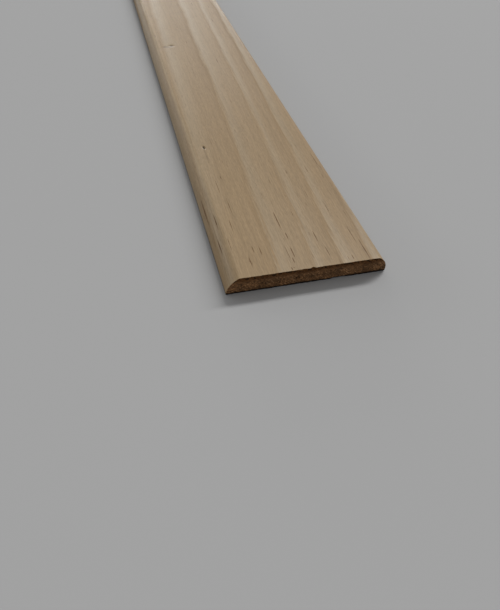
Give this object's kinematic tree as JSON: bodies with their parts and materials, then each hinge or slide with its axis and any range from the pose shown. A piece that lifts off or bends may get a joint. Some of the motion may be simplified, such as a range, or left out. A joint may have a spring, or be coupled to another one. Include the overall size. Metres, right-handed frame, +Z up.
{
  "type": "flat edge strip",
  "caption": "Flat softwood trim strip with a flat back and both long edges of its face rounded, sawn square at the ends, for covering a joint or a raw board edge.",
  "frame": {"origin": "middle of the flat back, half way between the sawn ends", "axes": "+Y along the strip, away from the end nearest the camera in the picture; +X across its width; +Z up, out of the rounded face"},
  "size_m": [0.05, 0.9, 0.006],
  "materials": {
    "bare_pine": "planed and sanded bare, matt"
  },
  "bodies": {
    "root": {"edge_strip": "bare_pine"}
  },
  "joints": []
}
